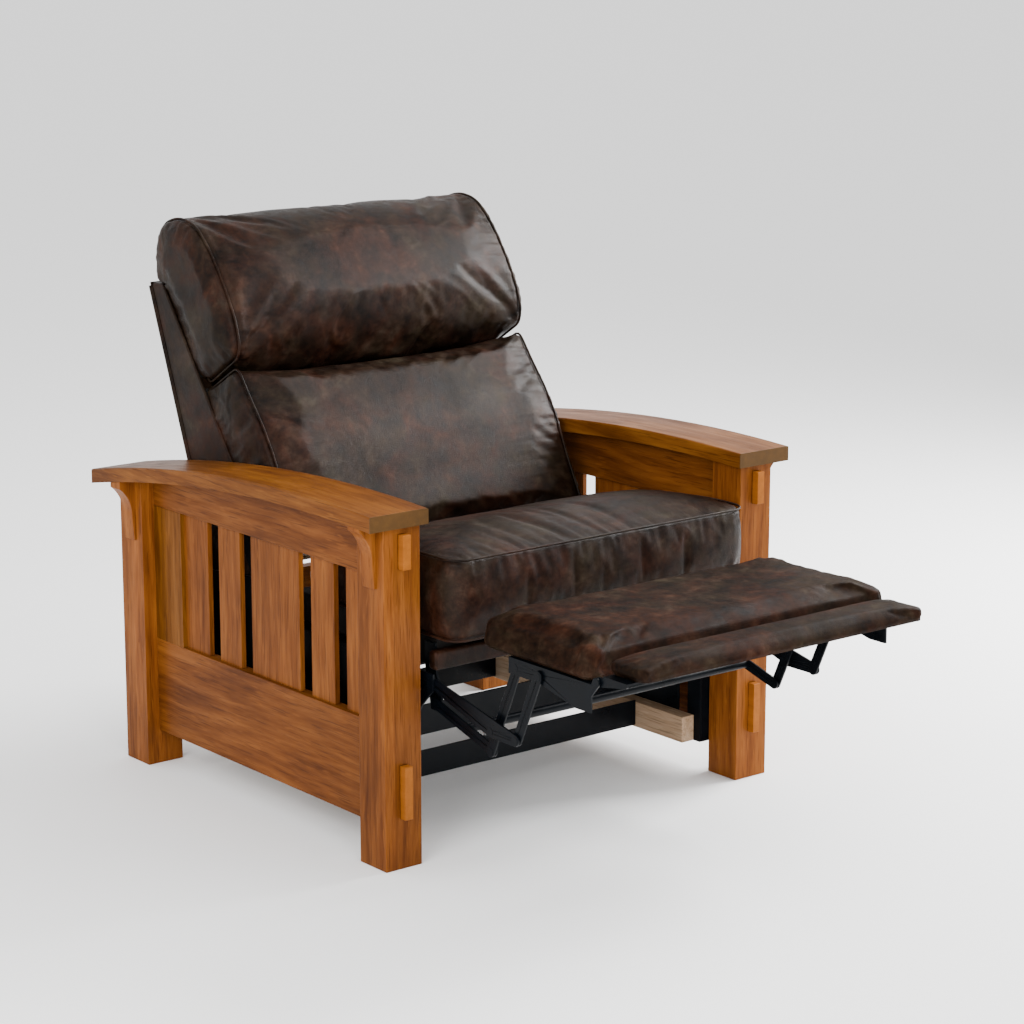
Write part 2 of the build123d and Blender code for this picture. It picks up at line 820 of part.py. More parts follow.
# Elastic webbing across the front edges of the side boards
with BuildPart() as back_webbing:
    for low in webbing_heights:
        high = low + webbing_width
        with BuildSketch(Plane.YZ.offset(-back_half_width)):
            with BuildLine():
                Polyline(
                    (front_edge(low) - webbing_thickness, low),
                    (front_edge(low), low),
                    (front_edge(high), high),
                    (front_edge(high) - webbing_thickness, high),
                    close=True,
                )
            make_face()
        extrude(amount=2 * back_half_width)
save(back_webbing.part, "back_webbing")

# Covered panel behind the back frame
with BuildPart() as outside_back:
    with BuildSketch(Plane.YZ.offset(-back_half_width)):
        with BuildLine():
            Polyline(
                (rear_edge(back_bottom), back_bottom),
                (rear_edge(back_bottom) + outside_back_thickness, back_bottom),
                (rear_edge(back_top) + outside_back_thickness, back_top),
                (rear_edge(back_top), back_top),
                close=True,
            )
        make_face()
    extrude(amount=2 * back_half_width)
save(outside_back.part, "outside_back")

# Hinge straps on the outside of the side boards
for side_name, side in sides:
    with BuildPart() as hinge_strap:
        with BuildSketch(upright(side, layer(main_link_layer), link_thickness)):
            with Locations(back_pivot):
                Circle(hinge_strap_radius)
            with Locations((back_pivot[0] + hinge_strap_length, back_pivot[1] + hinge_strap_height)):
                Circle(hinge_strap_end_radius)
            make_hull()
            bore(back_pivot, back_pin_radius + pivot_clearance)
        extrude(amount=link_thickness)
    save(hinge_strap.part, f"{side_name}_hinge_strap")


def cushion_rear(depth, height):
    """Where an end of the back cushion, falling rearwards from a point, meets the webbing."""
    stop = front_edge(height) - webbing_thickness - soft_gap
    run = (stop - depth) / (1 + back_front_lean_share * back_cushion_slope_share)
    return (depth + run, height - back_cushion_slope_share * run)


def swollen(first, second, bulge):
    """Point half way between two points of the front, pushed forwards by the bulge."""
    return (
        (first[0] + second[0]) / 2 - bulge,
        (first[1] + second[1]) / 2 + bulge * back_cushion_slope_share,
    )


def back_cushion_outline(share):
    """Front with a cross seam, below which it turns under and runs down behind the seat."""
    draw = back_cushion_draw * (1 - share)
    seam = (front + back_cushion_seam_depth + draw, back_cushion_seam_height)
    lip = (front + back_heel_depth - back_cushion_lip_lead + draw, back_cushion_lip_height)
    foot_depth = front_edge(back_cushion_foot_height) - webbing_thickness - soft_gap
    high = (front + back_cushion_front_top + draw, back_cushion_top - draw * back_cushion_slope_share)
    Polyline(lip, (foot_depth, back_cushion_foot_height), cushion_rear(*high), high)
    ThreePointArc(high, swollen(high, seam, back_cushion_crown * share), seam)
    ThreePointArc(seam, swollen(seam, lip, back_cushion_lip_bulge * share), lip)


save(soft_block(back_cushion_half_width, back_cushion_outline), "back_cushion")


def pillow_outline(share):
    """Roll that rests on the back cushion, leans on the webbing and caps the frame."""

    def place(setback, drop):
        return (front + pillow_lip + setback, back_top + pillow_rise - drop)

    def drawn(setback, drop):
        pull = pillow_draw_share * (1 - share)
        depth, height = place(setback, drop)
        heart = place(pillow_heart_setback, pillow_heart_drop)
        return (depth + (heart[0] - depth) * pull, height + (heart[1] - height) * pull)

    lip_height = (
        back_cushion_top
        + back_cushion_slope_share * (back_cushion_front_top - pillow_lip)
        + 2 * soft_gap
    )
    lip = (front + pillow_lip, lip_height)
    cap = back_top + soft_gap
    rear_foot = (rear_edge(back_top) - pillow_rear_inset, cap)
    chin = drawn(pillow_front_setback, pillow_front_drop)
    brow = drawn(pillow_brow_setback, pillow_brow_drop)
    crest = drawn(pillow_crest_setback, pillow_crest_drop)
    Polyline(
        lip,
        cushion_rear(*lip),
        (front_edge(cap) - webbing_thickness - soft_gap, cap),
        rear_foot,
    )
    ThreePointArc(rear_foot, drawn(pillow_rear_setback, pillow_rear_drop), crest)
    ThreePointArc(crest, drawn(pillow_top_setback, 0), brow)
    ThreePointArc(brow, drawn(pillow_shoulder_setback, pillow_shoulder_drop), chin)
    ThreePointArc(chin, drawn(-pillow_chin_lead, pillow_chin_drop), lip)


save(soft_block(pillow_half_width, pillow_outline), "headrest_pillow")

# Footrest: board, pad and the brackets under it
board_top = pad_bottom - soft_gap
board_bottom = board_top - footrest_board_thickness
board_front = front + pad_front + footrest_board_inset
board_rear = front + pad_rear - footrest_board_inset
with BuildPart() as footrest_board:
    with BuildSketch(Plane.XY.offset(board_bottom)):
        with Locations((0, (board_front + board_rear) / 2)):
            Rectangle(2 * footrest_board_half_width, board_rear - board_front)
    extrude(amount=footrest_board_thickness)
save(footrest_board.part, "footrest_board")

footrest_pad = soft_block(
    pad_half_width,
    box_outline(front + pad_front, front + pad_rear, pad_bottom, pad_height, pad_crown, pad_edge_bulge),
)
save(footrest_pad, "footrest_pad")

for side_name, side in sides:
    with BuildPart() as bracket:
        with BuildSketch(upright(side, layer(bracket_layer), link_thickness)):
            with BuildLine():
                Polyline(
                    (front + bracket_front, board_bottom),
                    (front + bracket_front, board_bottom - bracket_nose_drop),
                    (front + bracket_front + bracket_drop, board_bottom - bracket_nose_drop),
                    (front_upper[0], board_bottom - bracket_drop + link_half_width),
                    (front + bracket_rear, board_bottom - bracket_drop + link_half_width),
                    (front + bracket_rear, board_bottom),
                    close=True,
                )
            make_face()
            with BuildSketch(mode=Mode.ADD):
                with Locations(flap_pivot):
                    Circle(flap_ear_radius)
                root = (front + bracket_front + flap_ear_radius / 2, board_bottom - bracket_drop / 2)
                with Locations(root):
                    Circle(flap_ear_radius / 2)
                make_hull()
            for place in (front_upper, rear_upper, flap_pivot):
                bore(place, pivot_radius + pivot_clearance)
        extrude(amount=link_thickness)
        with BuildSketch(upright(side, layer(bracket_layer) - bracket_flange, bracket_flange)):
            level_block(
                board_front, front + bracket_rear, board_bottom - link_thickness, board_bottom
            )
        extrude(amount=bracket_flange)
    save(bracket.part, f"{side_name}_footrest_bracket")

# Front flap: board, pad and the arms it turns on
flap_board_top = flap_bottom + flap_board_thickness
flap_board_front = front + flap_front + footrest_board_inset
flap_board_rear = front + flap_rear - footrest_board_inset
with BuildPart() as flap_board:
    with BuildSketch(Plane.XY.offset(flap_bottom)):
        with Locations((0, (flap_board_front + flap_board_rear) / 2)):
            Rectangle(2 * flap_board_half_width, flap_board_rear - flap_board_front)
    extrude(amount=flap_board_thickness)
save(flap_board.part, "flap_board")

flap_pad = soft_block(
    flap_half_width,
    box_outline(
        front + flap_front,
        front + flap_rear,
        flap_board_top + soft_gap,
        flap_pad_height,
        flap_crown,
        flap_edge_bulge,
    ),
)
save(flap_pad, "flap_pad")

flap_arm_end = flap_pivot[0] - flap_arm_reach
with BuildPart() as flap_arms:
    for side_name, side in sides:
        with BuildSketch(upright(side, layer(rear_link_layer), link_thickness)):
            with Locations(flap_pivot):
                Circle(flap_ear_radius)
            with Locations((flap_arm_end + pivot_radius, flap_bottom - pivot_radius)):
                Circle(pivot_radius)
            make_hull()
            bore(flap_pivot, pivot_radius + pivot_clearance)
        extrude(amount=link_thickness)
        shelf_width = flap_arm_flange + link_thickness
        with BuildSketch(upright(side, layer(rear_link_layer) - flap_arm_flange, shelf_width)):
            level_block(flap_arm_end, flap_board_rear, flap_bottom - link_thickness, flap_bottom)
        extrude(amount=shelf_width)
save(flap_arms.part, "flap_arms")
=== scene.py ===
import math

import bpy
import numpy as np
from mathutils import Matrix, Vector, noise
from mathutils.kdtree import KDTree


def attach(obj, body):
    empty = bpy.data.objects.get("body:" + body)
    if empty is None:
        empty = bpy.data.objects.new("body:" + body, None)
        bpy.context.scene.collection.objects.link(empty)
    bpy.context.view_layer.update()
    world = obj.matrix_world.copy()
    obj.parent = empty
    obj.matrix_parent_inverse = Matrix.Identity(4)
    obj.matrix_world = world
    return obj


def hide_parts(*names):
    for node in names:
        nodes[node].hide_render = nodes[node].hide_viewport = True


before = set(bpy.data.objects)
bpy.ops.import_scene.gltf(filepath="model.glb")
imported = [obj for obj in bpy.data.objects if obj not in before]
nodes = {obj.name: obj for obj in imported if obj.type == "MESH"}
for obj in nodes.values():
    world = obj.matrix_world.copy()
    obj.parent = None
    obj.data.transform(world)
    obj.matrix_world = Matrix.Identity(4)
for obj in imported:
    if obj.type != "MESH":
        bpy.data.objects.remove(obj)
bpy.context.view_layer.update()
MM = 0.001
POST_FRONT = -0.185  # y of the front faces of the front posts


def behind(depth):
    """y in metres of a distance in millimetres behind the fronts of the posts."""
    return POST_FRONT + depth * MM


def side_points(pairs):
    """(y, z) in metres of pairs of such a distance and a height, both in millimetres."""
    return [(behind(depth), height * MM) for depth, height in pairs]


# ---- materials

# Dark, middle and light tone of each wood
OAK = ((0.078, 0.0205, 0.0032), (0.150, 0.0440, 0.0066), (0.225, 0.0730, 0.0125))
RAIL = ((0.060, 0.0160, 0.0026), (0.118, 0.0345, 0.0052), (0.178, 0.0575, 0.0100))
ARM = ((0.066, 0.0185, 0.0024), (0.120, 0.0380, 0.0050), (0.180, 0.0640, 0.0100))
STILE = ((0.060, 0.0180, 0.0020), (0.112, 0.0370, 0.0042), (0.160, 0.0570, 0.0080))
BEIGE = ((0.26, 0.165, 0.095), (0.37, 0.25, 0.16), (0.46, 0.34, 0.235))
# Tones of the leather, each with its place along the mottling
HIDE = (
    (0.38, (0.0022, 0.0009, 0.0004)),
    (0.46, (0.0084, 0.0037, 0.0018)),
    (0.54, (0.0168, 0.0085, 0.0047)),
    (0.64, (0.0345, 0.0215, 0.0140)),
)
X, Y, Z = 0, 1, 2
WAVE_UNIT = 0.314  # width in metres of one wave of the wave texture at a scale of 1


def feed(tree, made, inputs):
    """Links the inputs of a node that are given a socket and sets the others."""
    for key, value in inputs.items():
        if isinstance(value, bpy.types.NodeSocket):
            tree.links.new(value, made.inputs[key])
        else:
            made.inputs[key].default_value = value


def node(tree, kind, inputs=None, **settings):
    made = tree.nodes.new("ShaderNode" + kind)
    for key, value in settings.items():
        setattr(made, key, value)
    feed(tree, made, inputs or {})
    return made


def grey(value):
    return (value, value, value)


def scaled(colour, gain):
    return tuple(channel * gain for channel in colour)


def ramp(tree, factor, stops):
    """Colours along a factor, from (place, colour) stops."""
    made = node(tree, "ValToRGB", {"Fac": factor})
    elements = made.color_ramp.elements
    while len(elements) < len(stops):
        elements.new(0.5)
    for element, (place, colour) in zip(elements, stops):
        element.position = place
        element.color = (*colour, 1)
    return made.outputs["Color"]


def greys(tree, factor, low, high):
    """Greys along a factor, between two stops of (place, value)."""
    return ramp(tree, factor, [(place, grey(value)) for place, value in (low, high)])


def maths(tree, operation, first, second):
    return node(tree, "Math", {0: first, 1: second}, operation=operation).outputs[0]


def vector_maths(tree, operation, first, second):
    return node(tree, "VectorMath", {0: first, 1: second}, operation=operation).outputs[0]


def weighted(tree, *parts):
    """Sum of sockets, each times its share."""
    total, *others = [maths(tree, "MULTIPLY", socket, share) for socket, share in parts]
    for other in others:
        total = maths(tree, "ADD", total, other)
    return total


def mix(tree, factor, first, second, blend="MIX"):
    made = node(tree, "Mix", {0: factor, 6: first, 7: second}, data_type="RGBA", blend_type=blend)
    return made.outputs[2]


def stained(tree, colour, mask, share, tone):
    """A colour with a share of another tone where a mask is set."""
    return mix(tree, maths(tree, "MULTIPLY", mask, share), colour, (*tone, 1))


def multiplied(tree, colour, other, share=1.0):
    return mix(tree, share, colour, other, "MULTIPLY")


def noise_at(tree, vector, scale, detail, roughness=0.55, distortion=0.0):
    inputs = {"Vector": vector, "Scale": scale, "Detail": detail}
    inputs |= {"Roughness": roughness, "Distortion": distortion}
    return node(tree, "TexNoise", inputs).outputs["Fac"]


def warped(tree, place, scale, amount):
    """A place pushed about by smooth noise."""
    push = node(tree, "TexNoise", {"Vector": place, "Scale": scale, "Detail": 2.0}).outputs["Color"]
    return vector_maths(tree, "ADD", place, vector_maths(tree, "MULTIPLY", push, grey(amount)))


def stretched(tree, vector, axis, stretch, shift):
    """A place in a pattern that is drawn out along one axis and moved."""
    scale = [1.0, 1.0, 1.0]
    scale[axis] = 1.0 / stretch
    inputs = {"Vector": vector, "Location": grey(shift), "Scale": tuple(scale)}
    return node(tree, "Mapping", inputs).outputs["Vector"]


def shifted(tree, vector, shift):
    return stretched(tree, vector, X, 1.0, shift)


def bump(tree, height, strength, distance):
    inputs = {"Height": height, "Strength": strength, "Distance": distance}
    return node(tree, "Bump", inputs).outputs[0]


def material(name):
    """A material with a shader that is still plain."""
    made = bpy.data.materials.new(name)
    made.use_nodes = True
    tree = made.node_tree
    tree.nodes.clear()
    shader = node(tree, "BsdfPrincipled")
    node(tree, "OutputMaterial", {"Surface": shader.outputs[0]})
    return made, tree, shader


def wood(name, axis, tones, strip=0.0, shift=0.0, roughness=0.4, ends=None):
    """Wood with its grain along one axis, in glued strips if strip is their width.

    ends holds the y in front of which another tone is painted, its share and that tone: darker end grain on
    the arms' fronts, a painted highlight on the tenons.
    """
    made, tree, shader = material(name)
    dark, middle, light = tones

    def along(vector, stretch):
        return stretched(tree, vector, axis, stretch, shift)

    place = node(tree, "TexCoord").outputs["Object"]
    bent = warped(tree, place, scale=2.2, amount=0.05)
    grain = noise_at(tree, along(bent, stretch=16), scale=75, detail=7, roughness=0.62)
    figure = noise_at(tree, along(bent, stretch=6), scale=13, detail=4, roughness=0.55, distortion=0.5)
    pores = noise_at(tree, along(place, stretch=34), scale=520, detail=2, roughness=0.5)
    flecks = noise_at(tree, along(place, stretch=7), scale=130, detail=1, roughness=0.4)
    clouds = noise_at(tree, place, scale=2.3, detail=3)
    tone = weighted(tree, (grain, 0.55), (figure, 0.45))
    colour = ramp(tree, tone, ((0.36, dark), (0.5, middle), (0.64, light)))
    pore_mask = greys(tree, pores, (0.56, 0.0), (0.68, 1.0))
    colour = stained(tree, colour, pore_mask, share=0.5, tone=scaled(dark, 0.35))
    fleck_mask = greys(tree, flecks, (0.66, 0.0), (0.72, 1.0))
    colour = stained(tree, colour, fleck_mask, share=0.22, tone=scaled(light, 1.35))
    colour = multiplied(tree, colour, greys(tree, clouds, (0.3, 0.80), (0.7, 1.12)))
    split = node(tree, "SeparateXYZ", {"Vector": place})
    if strip:
        across = maths(tree, "ADD", split.outputs[X], split.outputs[Y])
        number = maths(tree, "FLOOR", maths(tree, "DIVIDE", across, strip), 0.0)
        value = node(tree, "TexWhiteNoise", {"W": number}, noise_dimensions="1D").outputs["Value"]
        colour = multiplied(tree, colour, greys(tree, value, (0.0, 0.80), (1.0, 1.24)))
    if ends:
        # In front of that y the wood takes another tone: darker end grain on the arms, a painted highlight
        # on the tenons
        depth, share, end_grain_and_highlight_tone = ends
        proud = maths(tree, "LESS_THAN", split.outputs[Y], depth)
        colour = stained(tree, colour, proud, share, end_grain_and_highlight_tone)
    height = weighted(tree, (grain, 0.6), (pore_mask, -0.6))
    feed(tree, shader, {
        "Base Color": colour,
        "Roughness": greys(tree, grain, (0.3, roughness + 0.08), (0.7, roughness - 0.05)),
        "Normal": bump(tree, height, strength=0.22, distance=0.0005),
        "Specular IOR Level": 0.06,
    })
    return made


def leather(name, gain=1.0, roughness=(0.36, 0.52), shift=0.0, shine=0.08):
    """Mottled leather with fine creases; roughness holds that of its dark and light patches."""
    made, tree, shader = material(name)
    place = shifted(tree, node(tree, "TexCoord").outputs["Object"], shift)
    clouds = noise_at(tree, place, scale=13.0, detail=9, roughness=0.66, distortion=0.6)
    patches = noise_at(tree, place, scale=40, detail=6, roughness=0.6, distortion=0.3)
    specks = noise_at(tree, place, scale=110, detail=4, roughness=0.6)
    tone = weighted(tree, (clouds, 0.52), (patches, 0.33), (specks, 0.15))
    colour = ramp(tree, tone, [(stop, scaled(hide_tone, gain)) for stop, hide_tone in HIDE])
    hue = noise_at(tree, shifted(tree, place, 3.7), scale=10.0, detail=5, roughness=0.6, distortion=0.8)
    tint = ramp(tree, hue, ((0.36, (1.35, 0.88, 0.74)), (0.52, grey(1.0)), (0.66, (0.86, 1.04, 0.92))))
    colour = multiplied(tree, colour, tint)
    crazed = warped(tree, place, scale=60.0, amount=0.006)
    cells = node(tree, "TexVoronoi", {"Vector": crazed, "Scale": 430.0}, feature="DISTANCE_TO_EDGE")
    creases = greys(tree, cells.outputs["Distance"], (0.0, 0.0), (0.16, 1.0))
    folds = noise_at(tree, place, scale=38, detail=5, roughness=0.62, distortion=1.4)
    height = weighted(tree, (creases, 0.5), (folds, 1.3))
    # The base colour is darkened along the creases, painted shade in them
    feed(tree, shader, {
        "Base Color": multiplied(tree, colour, creases, share=0.22),
        "Roughness": greys(tree, patches, (0.35, roughness[0]), (0.65, roughness[1])),
        "Normal": bump(tree, height, strength=0.34, distance=0.0009),
        "Specular IOR Level": shine,
    })
    return made


def metal(name, colour, metallic, roughness, shine):
    made, tree, shader = material(name)
    place = node(tree, "TexCoord").outputs["Object"]
    blotches = noise_at(tree, place, scale=22, detail=6, roughness=0.6)
    fine = noise_at(tree, place, scale=340, detail=3, roughness=0.5)
    feed(tree, shader, {
        "Base Color": ramp(tree, blotches, ((0.35, scaled(colour, 0.75)), (0.7, scaled(colour, 1.35)))),
        "Roughness": greys(tree, blotches, (0.3, roughness - 0.07), (0.7, roughness + 0.1)),
        "Normal": bump(tree, fine, strength=0.12, distance=0.0002),
        "Metallic": metallic,
        "Specular IOR Level": shine,
    })
    return made


def weave(name, colour, pitch):
    """Cloth whose threads lie pitch apart."""
    made, tree, shader = material(name)
    place = node(tree, "TexCoord").outputs["Object"]
    wave = {"Vector": place, "Scale": WAVE_UNIT / pitch, "Distortion": 0.4}
    threads = [
        node(tree, "TexWave", wave, bands_direction=direction).outputs["Fac"] for direction in ("X", "Z")
    ]
    height = maths(tree, "MULTIPLY", *threads)
    feed(tree, shader, {
        "Base Color": ramp(tree, height, ((0.1, scaled(colour, 0.5)), (0.8, colour))),
        "Normal": bump(tree, height, strength=0.5, distance=0.0006),
        "Roughness": 0.9,
        "Specular IOR Level": 0.2,
    })
    return made


# A painted highlight lightens the tenons in front of the posts, for their lit sides; darker end grain shows
# on the front ends of the arms
TENON_HIGHLIGHT = (POST_FRONT - 0.001, 0.45, (0.38, 0.12, 0.015))
ARM_ENDS = (POST_FRONT - 0.0085, 0.75, (0.050, 0.032, 0.013))
oak_post = wood("oak_post", Z, OAK, strip=0.0253, shift=0.3)
oak_upright = wood("oak_upright", Z, OAK, shift=1.1)
oak_stile = wood("oak_stile", Z, STILE, shift=1.9)
oak_rail = wood("oak_rail", Y, RAIL, shift=2.4, ends=TENON_HIGHLIGHT)
oak_arm = wood("oak_arm", Y, ARM, shift=3.3, roughness=0.36, ends=ARM_ENDS)
oak_cross = wood("oak_cross", X, OAK, shift=4.2)
beige_cross = wood("beige_cross", X, BEIGE, shift=5.0, roughness=0.6)
beige_along = wood("beige_along", Y, BEIGE, shift=5.7, roughness=0.6)
brown_leather = leather("brown_leather")
footrest_leather = leather("footrest_leather", gain=1.08, shift=7.0, roughness=(0.52, 0.68), shine=0.03)
black_steel = metal("black_steel", (0.0014, 0.0022, 0.0034), metallic=0.0, roughness=0.32, shine=0.08)
spring_steel = metal("spring_steel", (0.24, 0.24, 0.25), metallic=1.0, roughness=0.42, shine=0.5)
webbing = weave("webbing", (0.006, 0.0055, 0.005), pitch=0.003)
# Near-black cloth for the seat frame: partly a cover, partly a dark sheet painted in for the shade under
# the seat
shade_lining = weave("shade_lining", (0.010, 0.008, 0.007), pitch=0.0012)


# ---- CAD nodes that stay

# Endings of node names, their material and the width of their eased edges in millimetres
FINISHES = (
    (("_post",), oak_post, 1.5),
    (("_slat", "_slats", "corbels"), oak_upright, 1.2),
    (("rear_stile",), oak_stile, 1.0),
    (("upper_rail", "lower_rail"), oak_rail, 1.2),
    (("_arm",), oak_arm, 1.6),
    (("rear_rail",), oak_cross, 1.5),
    (("base_rail",), beige_along, 1.5),
    # The seat frame gets the near-black cloth, painted shade under the seat
    (("seat_frame",), shade_lining, 2.0),
    (("back_rails", "footrest_board", "flap_board"), beige_cross, 1.2),
    (("back_board", "seat_front_board"), brown_leather, 6.0),
    (("outside_back",), brown_leather, 2.0),
    (("back_webbing",), webbing, 0.0),
    (("seat_springs",), spring_steel, 0.0),
    (("pivots",), black_steel, 0.0),
    (("",), black_steel, 0.5),
)
WELD_REACH = 0.00002
FINE_EDGE = 1.0  # edges up to this width in millimetres are eased in fewer steps
EASED_ANGLE = 42  # degrees; flatter edges stay as they are

for name, thing in nodes.items():
    finish, edge = next(rule[1:] for rule in FINISHES if name.endswith(rule[0]))
    if not thing.material_slots:
        thing.data.materials.append(None)
    for material_slot in thing.material_slots:
        material_slot.material = finish
    if edge:
        weld = thing.modifiers.new("weld", "WELD")
        weld.merge_threshold = WELD_REACH
        bevel = thing.modifiers.new("edges", "BEVEL")
        bevel.width = edge * MM
        bevel.segments = 3 if edge > FINE_EDGE else 2
        bevel.limit_method = "ANGLE"
        bevel.angle_limit = math.radians(EASED_ANGLE)
        bevel.use_clamp_overlap = True
        normals = thing.modifiers.new("normals", "WEIGHTED_NORMAL")
        normals.keep_sharp = False


# ---- soft pieces: meshes

PLAN_SPACING = 0.02
PROFILE_SPACING = 0.008
CORNER_STEPS = 7
EASINGS = 2  # times that a profile's corners are eased


def mesh_object(name, points, faces):
    data = bpy.data.meshes.new(name)
    data.from_pydata([tuple(p) for p in points], [], faces)
    data.update()
    made = bpy.data.objects.new(name, data)
    bpy.context.scene.collection.objects.link(made)
    return made


def closed_form(name, loops):
    """Closed mesh through loops of equal length; the first and last are closed with a fan."""
    count = len(loops[0])
    points = [p for loop in loops for p in loop]
    faces = []
    for index in range(len(loops) - 1):
        for step in range(count):
            a, b = index * count + step, index * count + (step + 1) % count
            faces.append((a, b, b + count, a + count))
    for index, order in ((0, -1), (len(loops) - 1, 1)):
        centre = len(points)
        points.append(np.mean(loops[index], axis=0))
        for step in range(count):
            pair = (index * count + step, index * count + (step + 1) % count)
            faces.append((centre, *pair[::order]))
    return mesh_object(name, points, faces)


def resampled(corners, spacing, closed=True):
    """Points at even spacing along straight runs between corners."""
    corners = [np.array(c, float) for c in corners]
    ends = corners[1:] + corners[:1] if closed else corners[1:]
    points = []
    for a, b in zip(corners, ends):
        steps = max(1, round(float(np.linalg.norm(b - a)) / spacing))
        points += [a + (b - a) * step / steps for step in range(steps)]
    if not closed:
        points.append(corners[-1])
    return np.array(points)


def smoothed(corners):
    """Points along a closed profile with its corners eased."""
    points = resampled(corners, PROFILE_SPACING)
    for _ in range(EASINGS):
        points = (np.roll(points, 1, axis=0) + points * 2 + np.roll(points, -1, axis=0)) / 4
    return points


def rounded_plan(half_width, start, end, radius):
    """Points round a rectangle in plan with rounded corners, counter-clockwise."""
    centre_y, half_depth = (start + end) / 2, (end - start) / 2
    points = []
    for quarter, (sx, sy) in enumerate(((1, -1), (1, 1), (-1, 1), (-1, -1))):
        for step in range(CORNER_STEPS):
            angle = math.radians(-90 + 90 * quarter + 90 * step / (CORNER_STEPS - 1))
            points.append((
                sx * (half_width - radius) + radius * math.cos(angle),
                centre_y + sy * (half_depth - radius) + radius * math.sin(angle),
            ))
    return resampled(points, PLAN_SPACING)


def looped(line):
    """A closed line that ends on its first point."""
    return np.vstack((line, line[:1]))


def coordinates(thing):
    flat = np.empty(len(thing.data.vertices) * 3)
    thing.data.vertices.foreach_get("co", flat)
    return flat.reshape(-1, 3)


def set_coordinates(thing, points):
    thing.data.vertices.foreach_set("co", np.ascontiguousarray(points).ravel())
    thing.data.update()


def vertex_normals(thing):
    flat = np.empty(len(thing.data.vertices) * 3)
    thing.data.vertex_normals.foreach_get("vector", flat)
    return flat.reshape(-1, 3)


def smooth_shaded(thing):
    for face in thing.data.polygons:
        face.use_smooth = True


def baked(thing):
    """Applies the modifiers of one of the scene's own pieces to its mesh."""
    seen = thing.evaluated_get(bpy.context.evaluated_depsgraph_get())
    data = bpy.data.meshes.new_from_object(seen)
    old = thing.data
    thing.modifiers.clear()
    thing.data = data
    bpy.data.meshes.remove(old)


def remeshed(thing, size):
    """Gives a form an even mesh and evens out its steps."""
    change = thing.modifiers.new("remesh", "REMESH")
    change.mode = "VOXEL"
    change.voxel_size = size
    baked(thing)
    relax = thing.modifiers.new("relax", "SMOOTH")
    relax.factor, relax.iterations = 0.5, 3
    baked(thing)


# ---- soft pieces: swelling, seams and wrinkles

SEAM_STEP = 0.003  # spacing of the points that stand for a seam
SEAM_BREAK = 1.0  # added to the distance along where one seam ends and the next starts
SEAM_HOLD = 0.0055  # cloth nearer to a seam than this stays where it is
LAST_FRAME = 20
RUMPLES = 9.0  # unevenness, in waves per metre
GROOVE_DEPTH, GROOVE_WIDTH = 0.0022, 0.0045
FADE_REACHES = 4  # wrinkles end at this many times their reach
WRINKLE_START = 0.006  # they grow over this distance from the seam
# Folds per metre along the seam and away from it, their share, and the shift of their pattern
FOLDS = ((58.0, 5.0, 1.0, 0.0), (105.0, 9.0, 0.5, 4.0))
PATCHES = 4.0  # patches with more and with fewer folds, per metre of seam
PATCH_LEAST, PATCH_GAIN, PATCH_LIFT = 0.35, 0.65, 0.4
WELT_SIDES = 8
WELT_RADIUS = 0.0022
OFF_AXIS = (0.31, 0.17, 0.93)  # a direction that no seam starts in
NO_LENGTH = 1e-9


def tree_of(lines):
    """Points along some lines, each with its distance along, for nearest-point searches."""
    spots, along = [], []
    total = 0.0
    for line in lines:
        dense = resampled(line, SEAM_STEP, closed=False)
        gaps = np.linalg.norm(np.diff(dense, axis=0), axis=1)
        along += list(total + np.concatenate(([0.0], np.cumsum(gaps))))
        spots += list(dense)
        total = along[-1] + SEAM_BREAK
    tree = KDTree(len(spots))
    for index, spot in enumerate(spots):
        tree.insert(spot, index)
    tree.balance()
    return tree, along


def inflate(thing, seams, held, cap, slack):
    """Blows a closed form up as cloth that its seams hold, by cap at most."""
    base = coordinates(thing)
    tree, _ = tree_of(seams)
    fixed = [i for i, p in enumerate(base) if held(p) or tree.find(p)[2] < SEAM_HOLD]
    group = thing.vertex_groups.new(name="fixed")
    group.add(fixed, 1.0, "REPLACE")
    cloth = thing.modifiers.new("cloth", "CLOTH")
    cloth.settings.vertex_group_mass = "fixed"
    cloth.settings.use_pressure = True
    cloth.settings.uniform_pressure_force = 4.0
    cloth.settings.effector_weights.gravity = 0
    cloth.settings.shrink_min = slack
    cloth.settings.quality = 4
    cloth.settings.mass = 0.3
    cloth.settings.tension_stiffness = 15
    cloth.settings.bending_stiffness = 1.2
    cloth.collision_settings.use_collision = False
    cloth.collision_settings.use_self_collision = False
    cloth.point_cache.frame_start, cloth.point_cache.frame_end = 1, LAST_FRAME
    for step in range(1, LAST_FRAME + 1):
        bpy.context.scene.frame_set(step)
    seen = thing.evaluated_get(bpy.context.evaluated_depsgraph_get())
    swollen = np.array([v.co[:] for v in seen.data.vertices])
    thing.modifiers.clear()
    bpy.context.scene.frame_set(1)
    move = swollen - base
    length = np.linalg.norm(move, axis=1, keepdims=True)
    set_coordinates(thing, base + move * np.minimum(1.0, cap / np.maximum(length, NO_LENGTH)))
    thing.vertex_groups.clear()


